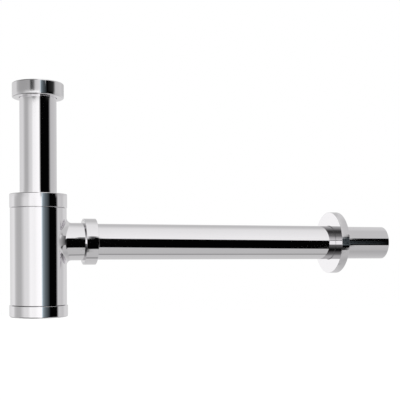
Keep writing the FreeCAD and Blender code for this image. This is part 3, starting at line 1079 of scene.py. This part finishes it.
def far_place(around):
    """Where a far card meets a direction, in metres along X."""
    return FAR * math.tan(math.radians(around - CAMERA_AROUND))


def near_place(around):
    """Where the bottle's mirror of a direction meets the near card, in metres along X."""
    body = reach("trap_body")
    normal = math.radians(around / 2 - CAMERA_AROUND)
    way = math.radians(around - CAMERA_AROUND)
    return body * math.sin(normal) + (NEAR - body * math.cos(normal)) * math.tan(way)


def far_shades(shades):
    """A list of (angle, grey) as a far card's list of (x, grey)."""
    return [(far_place(around), shade) for around, shade in shades]


def studio_cards():
    """The blue-grey sheen before the dark screen on the bottle, its collar, cup and inlet nut,
    the light in the branch's saddle, and what the wall plate and the tube's end mirror."""
    near_shades = [(near_place(around), shade) for around, shade in SHEEN]
    sheen_card("far_sheen_card", far_shades(SHEEN), SHEEN_TINT, FAR_CARD,
               ("smooth_collar", "cleaning_cup"))
    sheen_card("nut_sheen_card", far_shades(NUT_SHEEN), SHEEN_TINT, NUT_CARD,
               ("round_inlet_nut",))
    sheen_card("near_sheen_card", near_shades, SHEEN_TINT, NEAR_CARD, ("chrome_bottle",))
    sheen_card("saddle_card", far_shades(SADDLE_SHEEN), WHITE_TINT, SADDLE_CARD,
               ("branch_saddle",))
    sheen_card("plate_card", PLATE_SHEEN, WHITE_TINT, PLATE_CARD, ("wall_plate",))
    sheen_card("rim_card", far_shades(RIM_SHEEN), SHEEN_TINT, RIM_CARD, ("wall_plate",))
    sheen_card("end_card", far_shades(END_SHEEN), SHEEN_TINT, END_CARD,
               ("polished_outlet_tube",))


def studio_camera():
    """The camera of the photograph: its place in the frame, its turn and its lens."""
    yaw, pitch, roll = (math.radians(angle) for angle in CAMERA_TURN)
    forward = Vector((math.sin(yaw) * math.cos(pitch), math.cos(yaw) * math.cos(pitch),
                      math.sin(pitch)))
    right = Vector((math.cos(yaw), -math.sin(yaw), 0))
    up = right.cross(forward)
    turned_right = right * math.cos(roll) + up * math.sin(roll)
    turned_up = up * math.cos(roll) - right * math.sin(roll)
    only()
    bpy.ops.object.camera_add(location=(0, 0, 0))
    camera = bpy.context.object
    camera.name = "studio_camera"
    turn = Matrix((turned_right, turned_up, -forward)).transposed()
    camera.matrix_world = Matrix.Translation(CAMERA_PLACE) @ turn.to_4x4()
    camera.data.sensor_width = CAMERA_FILM
    camera.data.lens = CAMERA_LENS
    camera.data.shift_x, camera.data.shift_y = CAMERA_SHIFT
    camera.data.clip_start, camera.data.clip_end = CAMERA_CLIP
    bpy.context.scene.camera = camera


def studio_floor():
    """A plain pale floor well below the hanging trap, clear when seen from underneath."""
    only()
    bpy.ops.mesh.primitive_plane_add(size=FLOOR_SIZE, location=(0, 0, FLOOR_LEVEL))
    floor = bpy.context.object
    floor.name = "pale_floor"
    settled(floor)
    material = bpy.data.materials.new("pale_floor")
    tree, shader = new_nodes(material)
    shader.inputs["Roughness"].default_value = FLOOR_ROUGHNESS
    shader.inputs["Emission Color"].default_value = (1, 1, 1, 1)
    shader.inputs["Emission Strength"].default_value = FLOOR_GLOW
    toned(tree, shader, noise(tree, scale=3.0, detail=2.0), FLOOR_COLOUR, FLOOR_TONES)
    clear = tree.nodes.new("ShaderNodeBsdfTransparent")
    side = tree.nodes.new("ShaderNodeMixShader")
    tree.links.new(tree.nodes.new("ShaderNodeNewGeometry").outputs["Backfacing"], side.inputs[0])
    tree.links.new(shader.outputs[0], side.inputs[1])
    tree.links.new(clear.outputs[0], side.inputs[2])
    tree.links.new(side.outputs[0], tree.nodes["Material Output"].inputs["Surface"])
    floor.data.materials.append(material)
    floor.visible_glossy = False
    floor.visible_diffuse = False


class TRAP_OT_studio(bpy.types.Operator):
    """Set up the camera, the studio's light and the pale floor"""
    bl_idname = "trap.studio"
    bl_label = "Studio"
    bl_options = {"REGISTER", "UNDO"}

    def execute(self, context):
        studio_camera()
        studio_world()
        studio_cards()
        studio_floor()
        bpy.context.scene.view_settings.view_transform = "Standard"
        return {"FINISHED"}


class TRAP_PT_sidebar(bpy.types.Panel):
    """The trap's panel in the 3D view's sidebar"""
    bl_label = "Bottle Trap"
    bl_idname = "TRAP_PT_sidebar"
    bl_space_type = "VIEW_3D"
    bl_region_type = "UI"
    bl_category = "Bottle Trap"

    def draw(self, context):
        for group in (context.scene.trap_sizes, context.scene.trap_finishes):
            box = self.layout.box()
            for name in group.bl_rna.properties.keys():
                if name not in ("rna_type", "name"):
                    box.prop(group, name)
        for operator in OPERATORS:
            self.layout.operator(operator.bl_idname)


OPERATORS = (TRAP_OT_inlet_nut, TRAP_OT_tubes, TRAP_OT_collar, TRAP_OT_bottle, TRAP_OT_cup,
             TRAP_OT_outlet_nut, TRAP_OT_wall_flange, TRAP_OT_seals, TRAP_OT_studio)
CLASSES = (TrapSizes, TrapFinishes) + OPERATORS + (TRAP_PT_sidebar,)


def register():
    for one in CLASSES:
        bpy.utils.register_class(one)
    bpy.types.Scene.trap_sizes = bpy.props.PointerProperty(type=TrapSizes)
    bpy.types.Scene.trap_finishes = bpy.props.PointerProperty(type=TrapFinishes)


def unregister():
    del bpy.types.Scene.trap_finishes
    del bpy.types.Scene.trap_sizes
    for one in reversed(CLASSES):
        bpy.utils.unregister_class(one)


def build_trap():
    """Registers the add-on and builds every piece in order."""
    register()
    bpy.ops.trap.inlet_nut()
    bpy.ops.trap.tubes()
    bpy.ops.trap.collar()
    bpy.ops.trap.bottle()
    bpy.ops.trap.cup()
    bpy.ops.trap.outlet_nut()
    bpy.ops.trap.wall_flange()
    bpy.ops.trap.seals()
    bpy.ops.trap.studio()


if __name__ == "__main__":
    build_trap()
